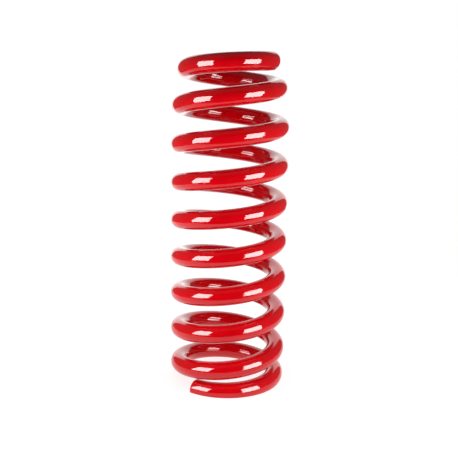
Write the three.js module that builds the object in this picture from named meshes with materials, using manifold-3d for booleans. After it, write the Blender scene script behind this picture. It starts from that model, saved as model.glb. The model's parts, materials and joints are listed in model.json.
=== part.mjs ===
// Coil spring for a vehicle suspension strut: one round steel bar wound as a right-hand helix.
// The lower end coil is closed and ground flat to stand on its seat. The upper end coil is open,
// spirals in to a smaller diameter and ends in a plain cut.
//
// Millimetres, +Z up. The origin is the centre of the ground seat plane, on the coil axis.
// Places along the bar are given in turns: turn 0 is the front (-Y) of the lowest coil, and the
// count rises anticlockwise as seen from above, so turns 1, 2, 3 ... are all at the front.
//
// The bar is divided into quarter-turn stretches, each centred on the front, right, back or left
// of its coil. The cuts are radial planes, so a stretch can sink on to the one below it without
// closing the gap between them, as the bar of a real spring does when the spring is compressed.

import * as THREE from "three";
import { mergeVertices } from "three/addons/utils/BufferGeometryUtils.js";
import Module from "manifold-3d";

const wasm = await Module();
wasm.setup();

// ---------------------------------------------------------------- driving dimensions

const barDiameter = 18;
const meanDiameter = 99; // between bar centres across the working coils
const activePitch = 37.6; // rise of the working coils in one turn

const lowerTipTurn = -0.11; // where the bar begins
const lowerEndHeight = 3.3; // bar centre over the seat plane, at turn 0
const lowerEndPitch = 10.5; // rise per turn where the end coil leaves the seat
const lowerEndLength = 1.1; // turns over which the pitch grows to the working pitch
const lowerEndInset = 0.7; // how much smaller the end coil's radius is
const lowerInsetLength = 0.9; // turns over which that inset runs out

const upperTipTurn = 9.19; // where the bar ends
const upperPitchStart = 8.15; // where the pitch begins to fall off
const upperPitchLength = 1.6; // turns in which it would fall to nothing
const upperInset = 11; // how far the bar would spiral in by the end of upperInsetLength
const upperInsetStart = 7.3;
const upperInsetLength = 2.8;

const tipChamfer = 1.2; // broken edge round each cut end of the bar
const stretchGap = 0.3; // between neighbouring stretches, at the mean radius

// ---------------------------------------------------------------- how finely it is faceted

const sectionSides = 16;
const stepsPerStretch = 8;

// ---------------------------------------------------------------- derived values

const barRadius = barDiameter / 2;
const meanRadius = meanDiameter / 2;
const turnsPerMillimetre = 1 / (Math.PI * meanDiameter);
const sideNames = ["front", "right", "back", "left"];
const stretchesPerTurn = sideNames.length;
const lastStretch = Math.round(upperTipTurn * stretchesPerTurn) - 1;

// ---------------------------------------------------------------- the centre line of the bar

const clamp01 = (t) => Math.min(Math.max(t, 0), 1);

// Smooth step from 0 to 1, and its integral, which goes on rising at slope 1 past t = 1.
const smooth = (t) => clamp01(t) ** 2 * (3 - 2 * clamp01(t));
const smoothIntegral = (t) => clamp01(t) ** 3 - clamp01(t) ** 4 / 2 + Math.max(t - 1, 0);

// Height of the bar's centre. The pitch starts at lowerEndPitch, grows to activePitch, and falls
// off again towards the upper tip.
function centreHeight(turn) {
  const grown = lowerEndLength * smoothIntegral(turn / lowerEndLength);
  const fallen = upperPitchLength * smoothIntegral((turn - upperPitchStart) / upperPitchLength);
  return (
    lowerEndHeight + lowerEndPitch * turn + (activePitch - lowerEndPitch) * grown - activePitch * fallen
  );
}

function pitchAt(turn) {
  const grown = smooth(turn / lowerEndLength);
  const fallen = smooth((turn - upperPitchStart) / upperPitchLength);
  return lowerEndPitch + (activePitch - lowerEndPitch) * grown - activePitch * fallen;
}

function centreRadius(turn) {
  const lower = lowerEndInset * (1 - smooth(turn / lowerInsetLength));
  const upper = upperInset * smooth((turn - upperInsetStart) / upperInsetLength);
  return meanRadius - lower - upper;
}

// ---------------------------------------------------------------- sections and stretches

// The outline of the bar in the radial plane at a turn. A sloping round bar meets that plane in
// an ellipse that is a little taller than the bar is thick.
function sectionAt(turn, radius) {
  const angle = 2 * Math.PI * turn - Math.PI / 2;
  const slope = pitchAt(turn) / (2 * Math.PI * centreRadius(turn));
  const halfHeight = radius * Math.hypot(1, slope);
  const points = [];
  for (let side = 0; side < sectionSides; side += 1) {
    const around = (2 * Math.PI * side) / sectionSides;
    const out = centreRadius(turn) + radius * Math.cos(around);
    const up = centreHeight(turn) + halfHeight * Math.sin(around);
    points.push(new THREE.Vector3(out * Math.cos(angle), out * Math.sin(angle), up));
  }
  return points;
}

// A closed solid through a row of sections, with flat ends.
function loft(sections) {
  const vertices = sections.flat();
  const triangles = [];
  for (let row = 0; row < sections.length - 1; row += 1) {
    for (let side = 0; side < sectionSides; side += 1) {
      const next = (side + 1) % sectionSides;
      const here = row * sectionSides;
      const beyond = here + sectionSides;
      triangles.push(here + side, beyond + side, here + next);
      triangles.push(here + next, beyond + side, beyond + next);
    }
  }
  const lastRow = (sections.length - 1) * sectionSides;
  for (let side = 1; side < sectionSides - 1; side += 1) {
    triangles.push(0, side, side + 1);
    triangles.push(lastRow, lastRow + side + 1, lastRow + side);
  }
  const geometry = new THREE.BufferGeometry().setFromPoints(vertices);
  geometry.setIndex(triangles);
  return geometry;
}

// The sections of one stretch. A stretch that holds a tip gets a chamfered end there.
function stretchSections(index) {
  const first = index === 0;
  const last = index === lastStretch;
  const halfGap = (stretchGap * turnsPerMillimetre) / 2;
  const chamferTurns = tipChamfer * turnsPerMillimetre;
  const from = first ? lowerTipTurn + chamferTurns : (index - 0.5) / stretchesPerTurn + halfGap;
  const to = last ? upperTipTurn - chamferTurns : (index + 0.5) / stretchesPerTurn - halfGap;
  const sections = [];
  if (first) sections.push(sectionAt(lowerTipTurn, barRadius - tipChamfer));
  for (let step = 0; step <= stepsPerStretch; step += 1) {
    sections.push(sectionAt(from + ((to - from) * step) / stepsPerStretch, barRadius));
  }
  if (last) sections.push(sectionAt(upperTipTurn, barRadius - tipChamfer));
  return sections;
}

// ---------------------------------------------------------------- grinding the seat

function toManifold(geometry) {
  const bare = geometry.clone();
  bare.deleteAttribute("normal");
  bare.deleteAttribute("uv");
  const merged = mergeVertices(bare, 1e-4);
  return new wasm.Manifold(
    new wasm.Mesh({
      numProp: 3,
      vertProperties: merged.attributes.position.array,
      triVerts: new Uint32Array(merged.index.array),
    }),
  );
}

function fromManifold(solid) {
  const mesh = solid.getMesh();
  const geometry = new THREE.BufferGeometry();
  geometry.setAttribute("position", new THREE.BufferAttribute(mesh.vertProperties, 3));
  geometry.setIndex(new THREE.BufferAttribute(mesh.triVerts, 1));
  return geometry;
}

// Takes away everything below the seat plane, as the grinding wheel does on the lower end coil.
function grindFlat(geometry) {
  const depth = barDiameter;
  const width = 2 * meanDiameter;
  const wheel = new THREE.BoxGeometry(width, width, depth).translate(0, 0, -depth / 2);
  return fromManifold(toManifold(geometry).subtract(toManifold(wheel)));
}

// ---------------------------------------------------------------- the spring

function stretchName(index) {
  if (index === 0) return "lower_tip";
  if (index === lastStretch) return "upper_tip";
  const coil = Math.floor(index / stretchesPerTurn) + 1;
  return `coil_${coil}_${sideNames[index % stretchesPerTurn]}`;
}

function makeStretch(index) {
  const sections = stretchSections(index);
  const belowSeat = sections.flat().some((point) => point.z < 0);
  const geometry = belowSeat ? grindFlat(loft(sections)) : loft(sections);
  geometry.computeVertexNormals();
  const redPowderCoat = new THREE.MeshStandardMaterial({
    color: 0xd0040f,
    roughness: 0.18,
    metalness: 0,
  });
  const stretch = new THREE.Mesh(geometry, redPowderCoat);
  stretch.name = stretchName(index);
  return stretch;
}

const spring = new THREE.Group();
spring.name = "coil_spring";
for (let index = 0; index <= lastStretch; index += 1) {
  spring.add(makeStretch(index));
}

export default spring;
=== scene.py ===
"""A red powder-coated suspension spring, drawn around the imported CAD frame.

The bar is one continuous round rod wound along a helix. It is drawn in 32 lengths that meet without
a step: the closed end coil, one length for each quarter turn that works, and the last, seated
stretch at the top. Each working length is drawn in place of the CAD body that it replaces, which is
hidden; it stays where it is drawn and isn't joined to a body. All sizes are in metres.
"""

import json
import math

import bpy
import numpy as np
from mathutils import Matrix, Vector

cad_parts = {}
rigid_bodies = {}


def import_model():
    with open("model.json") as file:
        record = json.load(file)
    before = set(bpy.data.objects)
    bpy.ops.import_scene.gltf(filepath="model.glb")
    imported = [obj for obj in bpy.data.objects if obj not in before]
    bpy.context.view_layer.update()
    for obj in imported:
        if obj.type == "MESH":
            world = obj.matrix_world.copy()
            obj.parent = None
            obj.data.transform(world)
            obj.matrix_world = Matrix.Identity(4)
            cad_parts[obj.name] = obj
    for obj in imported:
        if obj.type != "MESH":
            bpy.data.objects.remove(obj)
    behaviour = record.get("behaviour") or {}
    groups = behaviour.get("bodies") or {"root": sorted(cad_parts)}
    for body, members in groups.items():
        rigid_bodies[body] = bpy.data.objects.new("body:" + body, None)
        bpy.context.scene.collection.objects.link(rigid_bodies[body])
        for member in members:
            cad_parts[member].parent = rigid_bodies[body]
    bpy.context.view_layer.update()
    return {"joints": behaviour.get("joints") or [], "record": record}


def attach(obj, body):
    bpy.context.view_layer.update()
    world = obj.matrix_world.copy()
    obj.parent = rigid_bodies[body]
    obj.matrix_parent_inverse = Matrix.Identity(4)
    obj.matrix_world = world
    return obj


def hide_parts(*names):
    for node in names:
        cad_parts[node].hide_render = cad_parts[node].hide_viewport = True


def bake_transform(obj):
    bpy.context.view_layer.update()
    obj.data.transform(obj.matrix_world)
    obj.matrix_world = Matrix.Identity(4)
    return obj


# The bar and the coil, as in the part's source
BAR_RADIUS = 0.009
MEAN_RADIUS = 0.0495
ACTIVE_PITCH = 0.0376
LOWER_TIP_TURN = -0.11
LOWER_END_HEIGHT = 0.0033
LOWER_END_PITCH = 0.0105
LOWER_END_LENGTH = 1.1
LOWER_INSET = 0.0007
LOWER_INSET_LENGTH = 0.9
UPPER_TIP_TURN = 9.19
UPPER_PITCH_START = 8.15
UPPER_PITCH_LENGTH = 1.6
UPPER_INSET = 0.011
UPPER_INSET_START = 7.3
UPPER_INSET_LENGTH = 2.8

# Details that only the drawn bar has
GROUND_EDGE = 0.0005  # rounding along the sides of the ground flat
LEAST_GROUND_EDGE = GROUND_EDGE / 4
TIP_EDGE = 0.0011  # rounding round each cut end
TIP_EDGE_ROWS = 6
CAP_RINGS = 4

# Mesh density
STEPS_PER_TURN = 96
ARC_SEGMENTS = 48
FILLET_SEGMENTS = 4
FLAT_SEGMENTS = 8
ON_SEAT = 1e-9  # points no higher than this over the flat lie on it

# Seams between the drawn lengths, counted in quarter turns from turn 0
LOWEST_SEAM = 4
HIGHEST_SEAM = 34
SEAMS_PER_TURN = 4

UP = np.array([0.0, 0.0, 1.0])


# ---------------------------------------------------------------- the bar's centre line


def smooth(t):
    c = min(max(t, 0.0), 1.0)
    return c * c * (3 - 2 * c)


def smooth_integral(t):
    c = min(max(t, 0.0), 1.0)
    return c**3 - c**4 / 2 + max(t - 1, 0.0)


def centre_height(turn):
    rise_in = (ACTIVE_PITCH - LOWER_END_PITCH) * LOWER_END_LENGTH
    rise_out = ACTIVE_PITCH * UPPER_PITCH_LENGTH
    return (
        LOWER_END_HEIGHT
        + LOWER_END_PITCH * turn
        + rise_in * smooth_integral(turn / LOWER_END_LENGTH)
        - rise_out * smooth_integral((turn - UPPER_PITCH_START) / UPPER_PITCH_LENGTH)
    )


def pitch_at(turn):
    return (
        LOWER_END_PITCH
        + (ACTIVE_PITCH - LOWER_END_PITCH) * smooth(turn / LOWER_END_LENGTH)
        - ACTIVE_PITCH * smooth((turn - UPPER_PITCH_START) / UPPER_PITCH_LENGTH)
    )


def centre_radius(turn):
    return (
        MEAN_RADIUS
        - LOWER_INSET * (1 - smooth(turn / LOWER_INSET_LENGTH))
        - UPPER_INSET * smooth((turn - UPPER_INSET_START) / UPPER_INSET_LENGTH)
    )


def directions(turn):
    """The outward and the forward direction at a turn; turn 0 is at the front, -Y."""
    angle = 2 * math.pi * turn - math.pi / 2
    outward = np.array([math.cos(angle), math.sin(angle), 0.0])
    forward = np.array([-math.sin(angle), math.cos(angle), 0.0])
    return outward, forward


def centre_point(turn):
    return centre_radius(turn) * directions(turn)[0] + centre_height(turn) * UP


# ---------------------------------------------------------------- the bar's section


def arc(centre, radius, start, end, segments):
    """Points along an arc, and their outward normals."""
    angles = np.linspace(start, end, segments + 1)
    normals = np.stack([np.cos(angles), np.sin(angles)], 1)
    return np.array(centre) + radius * normals, normals


def section(turn, inset=0.0):
    """The section in the radial plane, as (radius, height) points with their outward normals.

    The points run from the lower outer edge over the top to the lower inner edge, and back across
    the ground flat. Where the bar isn't ground, all points of the flat fall together at the bottom.
    """
    radius, pitch = centre_radius(turn), pitch_at(turn)
    stretch = math.hypot(1, pitch / (2 * math.pi * radius))
    r = BAR_RADIUS - inset
    flat_height = inset
    centre = centre_height(turn) / stretch
    edge = max(GROUND_EDGE - inset, LEAST_GROUND_EDGE)
    depth = min(max((flat_height + edge - centre) / (r - edge), -1.0), 1.0)
    ground = depth > -1.0
    low = math.asin(depth)
    points, normals = arc((0, centre), r, low, math.pi - low, ARC_SEGMENTS)
    if ground:
        half = (r - edge) * math.cos(low)
        inner = arc((-half, flat_height + edge), edge, math.pi - low, 1.5 * math.pi, FILLET_SEGMENTS)
        outer = arc((half, flat_height + edge), edge, -0.5 * math.pi, low, FILLET_SEGMENTS)
        across = np.linspace(-half, half, FLAT_SEGMENTS + 1)[1:-1]
        flat = np.stack([across, np.full(len(across), flat_height)], 1)
        down = np.tile([0.0, -1.0], (len(across), 1))
        points = np.concatenate([points, inner[0][1:], flat, outer[0][:-1]])
        normals = np.concatenate([normals, inner[1][1:], down, outer[1][:-1]])
    else:
        points, normals = points[:-1], normals[:-1]
    rho = radius + points[:, 0]
    height = points[:, 1] * stretch
    normals = normals * np.array([stretch, 1.0])
    normals /= np.linalg.norm(normals, axis=1, keepdims=True)
    return rho, height, normals


def ring(turn, inset=0.0):
    """The section's points and surface normals in space. The normals lean with the bar's slope."""
    outward, forward = directions(turn)
    rho, height, normals = section(turn, inset)
    slope = np.where(height > inset + ON_SEAT, pitch_at(turn), 0.0)
    lean = -normals[:, 1] * slope / (2 * math.pi * rho)
    points = rho[:, None] * outward + height[:, None] * UP
    leaning = normals[:, :1] * outward + normals[:, 1:] * UP + lean[:, None] * forward
    return points, leaning / np.linalg.norm(leaning, axis=1, keepdims=True)


# ---------------------------------------------------------------- meshes


class BarMesh:
    """Collects rings of points into a closed mesh whose corners carry exact normals."""

    def __init__(self):
        self.points = []
        self.faces = []
        self.normals = []
        self.finishes = []
        self.rims = set()

    def add_ring(self, points):
        first = len(self.points)
        self.points.extend(points)
        return list(range(first, first + len(points)))

    def add_face(self, corners, normals, finish):
        self.faces.append(corners)
        self.normals.extend(normals)
        self.finishes.append(finish)

    def bridge(self, a, b, normals_a, normals_b, finish_of):
        """Joins ring a to ring b, which follows it along the bar.

        A ring that isn't ground has fewer points, and its first one stands for the whole flat.
        """
        count = max(len(a), len(b))
        for i in range(count):
            j = (i + 1) % count
            ia, ja = (k if k < len(a) else 0 for k in (i, j))
            ib, jb = (k if k < len(b) else 0 for k in (i, j))
            corners = [
                (a[ia], normals_a[ia]),
                (b[ib], normals_b[ib]),
                (b[jb], normals_b[jb]),
                (a[ja], normals_a[ja]),
            ]
            kept = [corners[0]]
            for corner in corners[1:]:
                if corner[0] != kept[-1][0]:
                    kept.append(corner)
            if kept[-1][0] == kept[0][0]:
                kept.pop()
            if len(kept) > 2:
                self.add_face([c[0] for c in kept], [c[1] for c in kept], finish_of(i))

    def cap(self, rim, normal, finish, facing_forward):
        """Closes an end with rings that shrink towards the rim's centre."""
        points = np.array([self.points[i] for i in rim])
        centre = points.mean(axis=0)
        self.rims.update(frozenset(pair) for pair in zip(rim, rim[1:] + rim[:1]))
        previous = rim
        for k in range(1, CAP_RINGS):
            share = 1 - k / CAP_RINGS
            current = self.add_ring(centre + share * (points - centre))
            self.close_gap(previous, current, normal, finish, facing_forward)
            previous = current
        middle = self.add_ring([centre])
        self.close_gap(previous, middle * len(previous), normal, finish, facing_forward)

    def close_gap(self, outer, inner, normal, finish, facing_forward):
        """Faces between two rings of a cap. At the middle of the cap they are triangles."""
        count = len(outer)
        for i in range(count):
            j = (i + 1) % count
            corners = [outer[i], outer[j], inner[j], inner[i]]
            if inner[i] == inner[j]:
                corners.pop()
            if facing_forward:
                corners.reverse()
            self.add_face(corners, [normal] * len(corners), finish)

    def build(self, name, finishes):
        mesh = bpy.data.meshes.new(name)
        mesh.from_pydata([tuple(p) for p in self.points], [], self.faces)
        for material in finishes:
            mesh.materials.append(material)
        mesh.polygons.foreach_set("material_index", self.finishes)
        mesh.polygons.foreach_set("use_smooth", [True] * len(self.faces))
        for edge in mesh.edges:
            edge.use_edge_sharp = frozenset(edge.vertices) in self.rims
        mesh.normals_split_custom_set([tuple(n) for n in self.normals])
        mesh.update()
        piece = bpy.data.objects.new(name, mesh)
        bpy.context.collection.objects.link(piece)
        return piece


PAINT, GROUND, CUT = 0, 1, 2


def finish_in_section(i):
    """Which finish a strip has: past the arc and the inner fillet comes the ground flat."""
    flat_start = ARC_SEGMENTS + FILLET_SEGMENTS
    return GROUND if flat_start <= i < flat_start + FLAT_SEGMENTS else PAINT


def tip_rings(tip_turn, side):
    """Rings that round the rim of a cut end, from the bar's full section to the rim of the face.

    side is +1 where the bar ends going forward and -1 where it ends going backward.
    """
    outward, forward = directions(tip_turn)
    rings = []
    for row in range(TIP_EDGE_ROWS + 1):
        swing = 0.5 * math.pi * row / TIP_EDGE_ROWS
        inset = TIP_EDGE * (1 - math.cos(swing))
        back = TIP_EDGE * (1 - math.sin(swing)) / (2 * math.pi * centre_radius(tip_turn))
        points, normals = ring(tip_turn - side * back, inset)
        turned = math.cos(swing) * normals + math.sin(swing) * side * forward
        turned /= np.linalg.norm(turned, axis=1, keepdims=True)
        rings.append((points, turned))
    return rings


def bar_length(name, start, end, finishes):
    """One length of the bar, closed at both ends. The ends at the two tips are cut and rounded."""
    mesh = BarMesh()
    edge_turns = TIP_EDGE / (2 * math.pi * MEAN_RADIUS)
    clear_of_tip = 2 * edge_turns
    first = start + (clear_of_tip if start == LOWER_TIP_TURN else 0)
    last = end - (clear_of_tip if end == UPPER_TIP_TURN else 0)
    steps = max(2, round((last - first) * STEPS_PER_TURN))
    rings = [ring(first + (last - first) * i / steps) for i in range(steps + 1)]
    if start == LOWER_TIP_TURN:
        rings = tip_rings(start, -1)[::-1] + rings
    if end == UPPER_TIP_TURN:
        rings = rings + tip_rings(end, 1)
    indices = [mesh.add_ring(points) for points, _ in rings]
    for (_, normals_a), (_, normals_b), a, b in zip(rings, rings[1:], indices, indices[1:]):
        mesh.bridge(a, b, normals_a, normals_b, finish_in_section)
    mesh.cap(indices[0], -directions(start)[1], CUT, facing_forward=False)
    mesh.cap(indices[-1], directions(end)[1], CUT, facing_forward=True)
    return mesh.build(name, finishes)


# ---------------------------------------------------------------- materials

DARKER_RED = (0.505, 0.0005, 0.0035, 1)
LIGHTER_RED = (0.565, 0.0010, 0.0050, 1)
DARKER_TABLE = (0.34, 0.34, 0.34, 1)
LIGHTER_TABLE = (0.38, 0.38, 0.38, 1)
WHITE = (1, 1, 1, 1)

# Nearly all of a noise texture's values lie between these
NOISE_LOW = 0.3
NOISE_HIGH = 0.7

# The colour sockets of a mix node, which has a set of sockets for each type of data
MIX_COLOUR_A = 6
MIX_COLOUR_B = 7
MIX_COLOUR_OUT = 2


def node(tree, kind, **values):
    """A node with its sockets set by name, and its properties set where no socket has the name."""
    made = tree.nodes.new(kind)
    for key, value in values.items():
        label = key.replace("_", " ").title()
        if label in made.inputs:
            made.inputs[label].default_value = value
        else:
            setattr(made, key, value)
    return made


def noise(tree, place, scale, detail=2.0, roughness=0.5):
    made = node(tree, "ShaderNodeTexNoise", scale=scale, detail=detail, roughness=roughness)
    tree.links.new(place, made.inputs["Vector"])
    return made.outputs["Fac"]


def spread(tree, value, low, high):
    """Spreads a 0 to 1 noise value over low to high."""
    made = node(tree, "ShaderNodeMapRange")
    made.inputs["From Min"].default_value = NOISE_LOW
    made.inputs["From Max"].default_value = NOISE_HIGH
    made.inputs["To Min"].default_value = low
    made.inputs["To Max"].default_value = high
    tree.links.new(value, made.inputs["Value"])
    return made.outputs["Result"]


def colour_between(tree, value, dark, light):
    made = node(tree, "ShaderNodeMix", data_type="RGBA")
    made.inputs[MIX_COLOUR_A].default_value = dark
    made.inputs[MIX_COLOUR_B].default_value = light
    tree.links.new(value, made.inputs["Factor"])
    return made.outputs[MIX_COLOUR_OUT]


def bump(tree, height, strength, distance, before=None):
    made = node(tree, "ShaderNodeBump", strength=strength, distance=distance)
    tree.links.new(height, made.inputs["Height"])
    if before is not None:
        tree.links.new(before, made.inputs["Normal"])
    return made.outputs["Normal"]


def red_paint(name):
    """The powder coat's material, with its shader and texture place, before any surface relief."""
    material = bpy.data.materials.new(name)
    material.use_nodes = True
    tree = material.node_tree
    shader = tree.nodes["Principled BSDF"]
    shader.inputs["IOR"].default_value = 1.5
    place = node(tree, "ShaderNodeTexCoord").outputs["Object"]
    cloud = spread(tree, noise(tree, place, scale=55.0, detail=3.0), 0.0, 1.0)
    red = colour_between(tree, cloud, DARKER_RED, LIGHTER_RED)
    tree.links.new(red, shader.inputs["Base Color"])
    return material, tree, shader, place


def uneven_gloss(tree, shader, place, scale, glossiest, dullest):
    gloss = spread(tree, noise(tree, place, scale=scale, detail=3.0), glossiest, dullest)
    tree.links.new(gloss, shader.inputs["Roughness"])


def orange_peel(tree, place):
    return noise(tree, place, scale=520.0, detail=1.0, roughness=0.4)


def powder_coat():
    """High-gloss powder coat: a faint orange peel, and a little unevenness in gloss and colour."""
    material, tree, shader, place = red_paint("red_powder_coat")
    uneven_gloss(tree, shader, place, scale=140.0, glossiest=0.045, dullest=0.075)
    peel = bump(tree, orange_peel(tree, place), strength=0.05, distance=0.0004)
    sag = noise(tree, place, scale=90.0, detail=1.0, roughness=0.4)
    relief = bump(tree, sag, strength=0.035, distance=0.0012, before=peel)
    tree.links.new(relief, shader.inputs["Normal"])
    return material


def stretched(tree, place, scale):
    made = node(tree, "ShaderNodeMapping", vector_type="POINT")
    made.inputs["Scale"].default_value = scale
    tree.links.new(place, made.inputs["Vector"])
    return made.outputs["Vector"]


def coat_over_grinding():
    """The paint on the ground seat: the wheel's straight marks still show under the coat."""
    material, tree, shader, place = red_paint("red_powder_coat_over_grinding")
    uneven_gloss(tree, shader, place, scale=300.0, glossiest=0.12, dullest=0.24)
    along_y = stretched(tree, place, (1.0, 0.04, 1.0))
    streaks = noise(tree, along_y, scale=2600.0, detail=3.0, roughness=0.6)
    marks = bump(tree, streaks, strength=0.25, distance=0.00025)
    relief = bump(tree, orange_peel(tree, place), strength=0.10, distance=0.0004, before=marks)
    tree.links.new(relief, shader.inputs["Normal"])
    return material


def coat_over_cut():
    """The paint on the two cut ends, a little rougher, over the marks of the shear."""
    material, tree, shader, place = red_paint("red_powder_coat_over_cut")
    uneven_gloss(tree, shader, place, scale=400.0, glossiest=0.10, dullest=0.22)
    upright = stretched(tree, place, (1.0, 1.0, 0.08))
    streaks = noise(tree, upright, scale=1800.0, detail=3.0, roughness=0.6)
    marks = bump(tree, streaks, strength=0.35, distance=0.0003)
    dents = noise(tree, place, scale=350.0, detail=2.0)
    relief = bump(tree, dents, strength=0.25, distance=0.0006, before=marks)
    tree.links.new(relief, shader.inputs["Normal"])
    return material


# ---------------------------------------------------------------- the studio

CAMERA_PLACE = (0.0002, -0.70084, 0.29061)
CAMERA_TILT = 10.78
CAMERA_ROLL = 0.825
CAMERA_LENS = 55.40
CAMERA_SENSOR = 36.0

# Azimuths are in degrees from -Y, and plus is to the right
LEFT_AZIMUTH = -57
RIGHT_AZIMUTH = 49

KEY_DISTANCE = 0.24
KEY_HEIGHT = 0.200
KEY_WIDTH = 0.17
KEY_SPAN = 0.32
KEY_GLOW = 5.4

FILL_SIZE = 0.6
FILL_GLOW = 2.0

# The room's brightness, from straight in front of the spring towards its sides and back
ROOM_DIM = 0.012
ROOM_BRIGHT = 0.16
DIM_UP_TO = -0.80
BRIGHT_FROM = -0.30


def add_camera():
    data = bpy.data.cameras.new("camera")
    data.lens = CAMERA_LENS
    data.sensor_width = CAMERA_SENSOR
    camera = bpy.data.objects.new("camera", data)
    bpy.context.collection.objects.link(camera)
    tilt = Matrix.Rotation(math.radians(90 - CAMERA_TILT), 4, "X")
    roll = Matrix.Rotation(math.radians(CAMERA_ROLL), 4, "Z")
    camera.matrix_world = Matrix.Translation(CAMERA_PLACE) @ tilt @ roll
    bpy.context.scene.camera = camera


def glowing(name, strength):
    material = bpy.data.materials.new(name)
    material.use_nodes = True
    tree = material.node_tree
    tree.nodes.remove(tree.nodes["Principled BSDF"])
    glow = node(tree, "ShaderNodeEmission", strength=strength)
    tree.links.new(glow.outputs["Emission"], tree.nodes["Material Output"].inputs["Surface"])
    return material


def facing(place, target):
    """A matrix at place whose -Z axis points at target, with Y kept upright."""
    back = (Vector(place) - Vector(target)).normalized()
    right = Vector((0, 0, 1)).cross(back).normalized()
    up = back.cross(right)
    turned = Matrix((right, up, back)).transposed().to_4x4()
    return Matrix.Translation(place) @ turned


def reflected_panel(name, place, target, width, height, strength):
    """A bright panel that shows only in reflections."""
    w, h = width / 2, height / 2
    mesh = bpy.data.meshes.new(name)
    mesh.from_pydata([(-w, -h, 0), (-w, h, 0), (w, h, 0), (w, -h, 0)], [], [(0, 1, 2, 3)])
    mesh.materials.append(glowing(name, strength))
    panel = bpy.data.objects.new(name, mesh)
    bpy.context.collection.objects.link(panel)
    panel.matrix_world = facing(place, target)
    panel.visible_camera = False
    panel.visible_diffuse = False
    panel.visible_shadow = False


def linked_lights(name, thing, state):
    """The receivers of a light that falls on one thing alone (INCLUDE), or not on it (EXCLUDE)."""
    receivers = bpy.data.collections.new(name)
    receivers.objects.link(thing)
    receivers.collection_objects[0].light_linking.link_state = state
    return receivers


def soft_light(name, place, target, width, height, radiance, receivers):
    """A soft area light that gives light and shadow, and doesn't show in reflections."""
    data = bpy.data.lights.new(name, "AREA")
    data.shape = "RECTANGLE"
    data.size = width
    data.size_y = height
    data.energy = radiance * math.pi * width * height
    light = bpy.data.objects.new(name, data)
    bpy.context.collection.objects.link(light)
    light.matrix_world = facing(place, target)
    light.visible_camera = False
    light.visible_glossy = False
    light.light_linking.receiver_collection = receivers


def beside(azimuth, distance, height):
    """A place off the coils, and the point of the coils that mirrors it to the camera."""
    turn = math.radians(azimuth)
    near = (MEAN_RADIUS + BAR_RADIUS) * Vector((math.sin(turn / 2), -math.cos(turn / 2), 0))
    aim = Vector((math.sin(turn), -math.cos(turn), 0))
    raised = Vector((0, 0, height))
    return near + distance * aim + raised, near + raised


def softbox(name, azimuth, distance, width, bottom, top, shine):
    """The face of a softbox, as the paint reflects it."""
    place, near = beside(azimuth, distance, (bottom + top) / 2)
    reflected_panel(name, place, near, width, top - bottom, shine)


def key_light(name, azimuth, glow, receivers):
    """The light of a softbox. It stands close, so it falls off towards the coils' far side."""
    place, near = beside(azimuth, KEY_DISTANCE, KEY_HEIGHT)
    soft_light(name, place, near, KEY_WIDTH, KEY_SPAN, glow, receivers)


def add_floor():
    """A pale table top under the spring and behind it."""
    left, right, front, back = -0.45, 0.38, -0.205, 1.2
    mesh = bpy.data.meshes.new("floor")
    corners = [(left, front, 0), (right, front, 0), (right, back, 0), (left, back, 0)]
    mesh.from_pydata(corners, [], [(0, 1, 2, 3)])
    material = bpy.data.materials.new("pale_floor")
    material.use_nodes = True
    tree = material.node_tree
    shader = tree.nodes["Principled BSDF"]
    shader.inputs["Roughness"].default_value = 0.9
    shader.inputs["Specular IOR Level"].default_value = 0.0
    shader.inputs["Emission Color"].default_value = WHITE
    shader.inputs["Emission Strength"].default_value = 0.84
    place = node(tree, "ShaderNodeTexCoord").outputs["Object"]
    cloud = spread(tree, noise(tree, place, scale=6.0), 0.0, 1.0)
    pale = colour_between(tree, cloud, DARKER_TABLE, LIGHTER_TABLE)
    tree.links.new(pale, shader.inputs["Base Color"])
    mesh.materials.append(material)
    floor = bpy.data.objects.new("floor", mesh)
    bpy.context.collection.objects.link(floor)
    return floor


def add_floor_light(floor):
    """Even, very soft light from above that falls on the floor alone, so the spring shades it."""
    data = bpy.data.lights.new("floor_light", "SUN")
    data.energy = 1.5
    data.angle = math.radians(100)
    light = bpy.data.objects.new("floor_light", data)
    bpy.context.collection.objects.link(light)
    light.light_linking.receiver_collection = linked_lights("floor_only", floor, "INCLUDE")
    light.visible_glossy = False


def add_world():
    """A dim room, darkest in front, which the camera sees as a plain white backdrop."""
    scene = bpy.context.scene
    world = bpy.data.worlds.new("studio")
    scene.world = world
    world.use_nodes = True
    tree = world.node_tree
    room = tree.nodes["Background"]
    place = node(tree, "ShaderNodeTexCoord").outputs["Generated"]
    split = node(tree, "ShaderNodeSeparateXYZ")
    tree.links.new(place, split.inputs["Vector"])
    dim = node(tree, "ShaderNodeMapRange", interpolation_type="SMOOTHSTEP")
    dim.inputs["From Min"].default_value = DIM_UP_TO
    dim.inputs["From Max"].default_value = BRIGHT_FROM
    dim.inputs["To Min"].default_value = ROOM_DIM
    dim.inputs["To Max"].default_value = ROOM_BRIGHT
    tree.links.new(split.outputs["Y"], dim.inputs["Value"])
    tree.links.new(dim.outputs["Result"], room.inputs["Strength"])
    room.inputs["Color"].default_value = WHITE
    white = node(tree, "ShaderNodeBackground", strength=1.0)
    white.inputs["Color"].default_value = WHITE
    path = node(tree, "ShaderNodeLightPath")
    mix = node(tree, "ShaderNodeMixShader")
    tree.links.new(path.outputs["Is Camera Ray"], mix.inputs["Fac"])
    tree.links.new(room.outputs["Background"], mix.inputs[1])
    tree.links.new(white.outputs["Background"], mix.inputs[2])
    tree.links.new(mix.outputs["Shader"], tree.nodes["World Output"].inputs["Surface"])


def add_softboxes():
    softbox("left_softbox", LEFT_AZIMUTH, distance=0.45, width=0.319, bottom=0.075, top=0.475, shine=17.0)
    softbox("right_softbox", RIGHT_AZIMUTH, distance=0.60, width=0.435, bottom=-0.02, top=0.50, shine=18.0)


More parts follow.
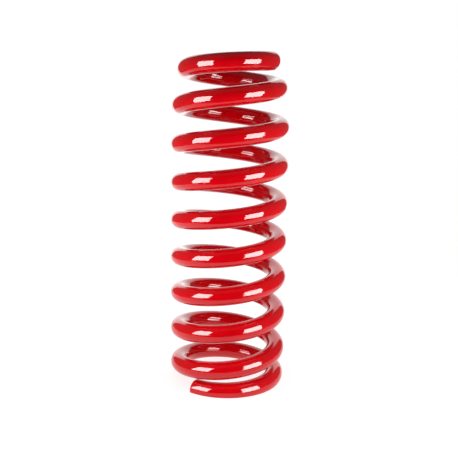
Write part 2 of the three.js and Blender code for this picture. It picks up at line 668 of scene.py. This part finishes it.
def add_backdrop():
    """A large, dim panel behind the spring, which the paint mirrors at grazing angles."""
    height = 0.48
    place, ahead = (0, 0.80, height), (0, 0, height)
    reflected_panel("backdrop", place, ahead, width=1.0, height=1.1, strength=1.6)


def add_fill_lights(receivers):
    """Weak lights behind the spring on both sides."""
    middle = (0, 0, 0.165)
    for name, side in (("left_fill", -1), ("right_fill", 1)):
        place = (side * 0.75, 0.65, 0.45)
        soft_light(name, place, middle, FILL_SIZE, FILL_SIZE, FILL_GLOW, receivers)


def add_lights(floor):
    spring_only = linked_lights("spring_only", floor, "EXCLUDE")
    add_softboxes()
    key_light("left_key", LEFT_AZIMUTH, KEY_GLOW, spring_only)
    key_light("right_key", RIGHT_AZIMUTH, KEY_GLOW, spring_only)
    add_backdrop()
    add_fill_lights(spring_only)
    add_floor_light(floor)


# ---------------------------------------------------------------- the spring


def body_chain(frame):
    """The bodies from the lower end up, each joined to the one before it."""
    chain = ["lower_end"]
    child_of = {joint["parent"]: joint["child"] for joint in frame["joints"]}
    while chain[-1] in child_of:
        chain.append(child_of[chain[-1]])
    return chain


def add_spring(frame):
    finishes = [powder_coat(), coat_over_grinding(), coat_over_cut()]
    nodes_of = frame["record"]["behaviour"]["bodies"]
    chain = body_chain(frame)

    lower = bar_length("bar_lower_end", LOWER_TIP_TURN, LOWEST_SEAM / SEAMS_PER_TURN, finishes)
    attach(lower, chain[0])
    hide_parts(*nodes_of[chain[0]])

    # Each working length is drawn in place of one CAD body, which is hidden; it isn't joined to a body
    for i, seam in enumerate(range(LOWEST_SEAM, HIGHEST_SEAM)):
        start, end = seam / SEAMS_PER_TURN, (seam + 1) / SEAMS_PER_TURN
        replaced = nodes_of[chain[i + 1]][0]
        length = bar_length("bar_" + replaced, start, end, finishes)
        seam_a, seam_b = centre_point(start), centre_point(end)
        seam_b[2] = seam_a[2]
        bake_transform(length)
        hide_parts(replaced)

    upper = bar_length("bar_upper_end", HIGHEST_SEAM / SEAMS_PER_TURN, UPPER_TIP_TURN, finishes)
    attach(upper, chain[-1])
    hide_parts(*nodes_of[chain[-1]][1:])


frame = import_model()
bpy.context.scene.view_settings.view_transform = "Standard"
add_camera()
add_spring(frame)
add_world()
add_lights(add_floor())
